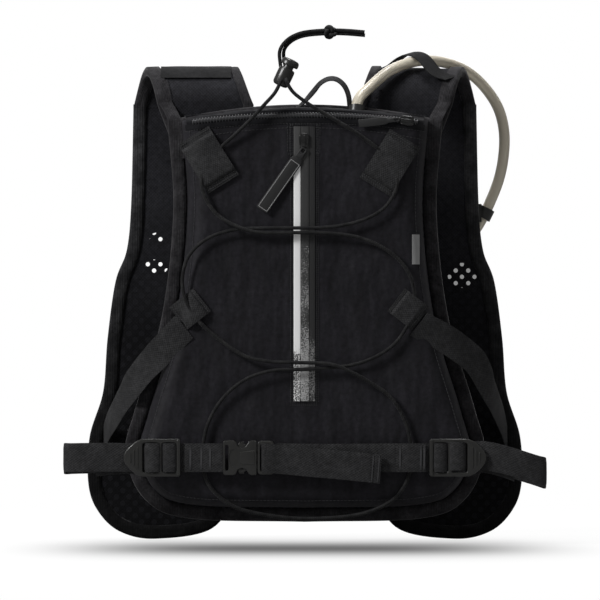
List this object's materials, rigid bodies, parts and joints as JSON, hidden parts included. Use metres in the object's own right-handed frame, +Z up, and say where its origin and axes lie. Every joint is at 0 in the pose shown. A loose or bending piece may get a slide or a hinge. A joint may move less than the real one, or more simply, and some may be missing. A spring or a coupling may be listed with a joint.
{
  "type": "hydration pack",
  "caption": "Running vest hydration pack with bungee-laced bag, drink reservoir and hose, front flask pockets and a buckled waist belt.",
  "frame": {"origin": "middle of the base, on the level of the lowest hems of the front panels", "axes": "+Z up as worn; the laced bag faces -Y, the wearer stands towards +Y"},
  "size_m": [0.4214, 0.1462, 0.4532],
  "materials": {
    "pack_cloth": "matt woven nylon",
    "stretch_mesh": "matt stretch mesh",
    "edge_binding": "brushed tape",
    "webbing": "woven polyester",
    "elastic": "ribbed elastic",
    "buckle_plastic": "moulded satin",
    "zip_tape": "woven tape",
    "zip_coil": "coil",
    "zip_metal": "blackened",
    "pull_tab": "matt with a pale edge",
    "shock_cord": "braided",
    "spring_steel": "bright",
    "hose_tube": "clear, slightly yellowed",
    "reservoir_film": "clear film",
    "valve_plastic": "moulded satin",
    "bite_rubber": "soft silicone"
  },
  "bodies": {
    "root": {"back_panel": "pack_cloth", "belt_link_left": "webbing", "belt_link_right": "webbing", "belt_strap_left": "webbing", "belt_strap_right": "webbing", "bite_valve": "bite_rubber", "buckle_socket": "buckle_plastic", "bungee_cord": "shock_cord", "bungee_knot": "shock_cord", "bungee_loops_upper": "webbing", "centre_zip_coil": "zip_coil", "centre_zip_tape": "zip_tape", "compartment_divider": "pack_cloth", "compression_strap_left": "webbing", "compression_strap_right": "webbing", "cord_lock_body": "buckle_plastic", "cord_lock_spring": "spring_steel", "fill_port": "valve_plastic", "flask_pocket_left": "stretch_mesh", "flask_pocket_right": "stretch_mesh", "front_bindings": "edge_binding", "front_panel_left": "pack_cloth", "front_panel_right": "pack_cloth", "hang_loop": "webbing", "hose": "hose_tube", "hose_clip": "buckle_plastic", "hose_keepers": "elastic", "hose_port": "buckle_plastic", "main_shell": "pack_cloth", "main_zip_coil": "zip_coil", "main_zip_tape": "zip_tape", "outlet_elbow": "valve_plastic", "panel_binding": "edge_binding", "reservoir_bag": "reservoir_film", "shoulder_yoke_left": "pack_cloth", "shoulder_yoke_right": "pack_cloth", "sternum_rails": "shock_cord", "valve_body": "valve_plastic"},
    "centre_slider": {"centre_zip_slider": "zip_metal"},
    "centre_pull": {"centre_zip_pull": "pull_tab"},
    "main_slider": {"main_zip_slider": "zip_metal"},
    "main_pull": {"main_zip_pull": "pull_tab"},
    "waist_plug": {"buckle_plug": "buckle_plastic", "buckle_arms": "buckle_plastic", "belt_tail": "webbing"},
    "waist_lock_left": {"tension_lock_left": "buckle_plastic"},
    "waist_lock_right": {"tension_lock_right": "buckle_plastic"},
    "lock_button": {"cord_lock_button": "buckle_plastic"},
    "reservoir_cap": {"fill_cap": "valve_plastic"},
    "shutoff_lever": {"valve_lever": "valve_plastic"},
    "sternum_strap": {"sternum_slider_left": "buckle_plastic", "sternum_slider_right": "buckle_plastic", "sternum_web_left": "webbing", "sternum_web_right": "webbing", "sternum_socket": "buckle_plastic"},
    "sternum_release": {"sternum_plug": "buckle_plastic", "sternum_arms": "buckle_plastic"}
  },
  "joints": [
    {"name": "centre_zip_run", "type": "slide", "parent": "root", "child": "centre_slider", "axis": [0, 0, 1], "range_m": [-0.212, 0]},
    {"name": "centre_pull_swing", "type": "hinge", "parent": "centre_slider", "child": "centre_pull", "pos_m": [-0.001, -0.0633, 0.3446], "axis": [0, 1, 0], "range_deg": [-70, 8]},
    {"name": "main_zip_run", "type": "hinge", "parent": "root", "child": "main_slider", "pos_m": [0, -0.0604, -0.425], "axis": [0, 1, 0], "range_deg": [-12.75, 0]},
    {"name": "main_pull_swing", "type": "hinge", "parent": "main_slider", "child": "main_pull", "pos_m": [0.08042, -0.0633, 0.37085], "axis": [0, 1, 0], "range_deg": [0, 70]},
    {"name": "waist_buckle_release", "type": "slide", "parent": "root", "child": "waist_plug", "axis": [1, 0, 0], "range_m": [0, 0.024], "deforming": ["belt_link_right", "buckle_arms"]},
    {"name": "waist_lock_left_tilt", "type": "hinge", "parent": "root", "child": "waist_lock_left", "pos_m": [-0.11, -0.0688, 0.077], "axis": [0, 0, 1], "range_deg": [0, 20], "deforming": ["belt_strap_left"]},
    {"name": "waist_lock_right_tilt", "type": "hinge", "parent": "root", "child": "waist_lock_right", "pos_m": [0.11, -0.0688, 0.077], "axis": [0, 0, -1], "range_deg": [0, 20], "deforming": ["belt_strap_right"]},
    {"name": "cord_lock_press", "type": "slide", "parent": "root", "child": "lock_button", "axis": [0.4226, 0, 0.9063], "range_m": [-0.0025, 0], "stiffness_N_per_m": 900, "deforming": ["cord_lock_spring"]},
    {"name": "reservoir_cap_turn", "type": "hinge", "parent": "root", "child": "reservoir_cap", "pos_m": [-0.013, -0.0424, 0.287], "axis": [0, 1, 0], "range_deg": [0, 180]},
    {"name": "valve_shutoff", "type": "hinge", "parent": "root", "child": "shutoff_lever", "pos_m": [0.08149, 0.0696, 0.2343], "axis": [0, 1, 0], "range_deg": [0, 90]},
    {"name": "sternum_height", "type": "slide", "parent": "root", "child": "sternum_strap", "axis": [0, 0, 1], "range_m": [-0.03, 0.03]},
    {"name": "sternum_buckle_release", "type": "slide", "parent": "sternum_strap", "child": "sternum_release", "axis": [1, 0, 0], "range_m": [0, 0.022], "deforming": ["sternum_web_right", "sternum_arms"]}
  ]
}
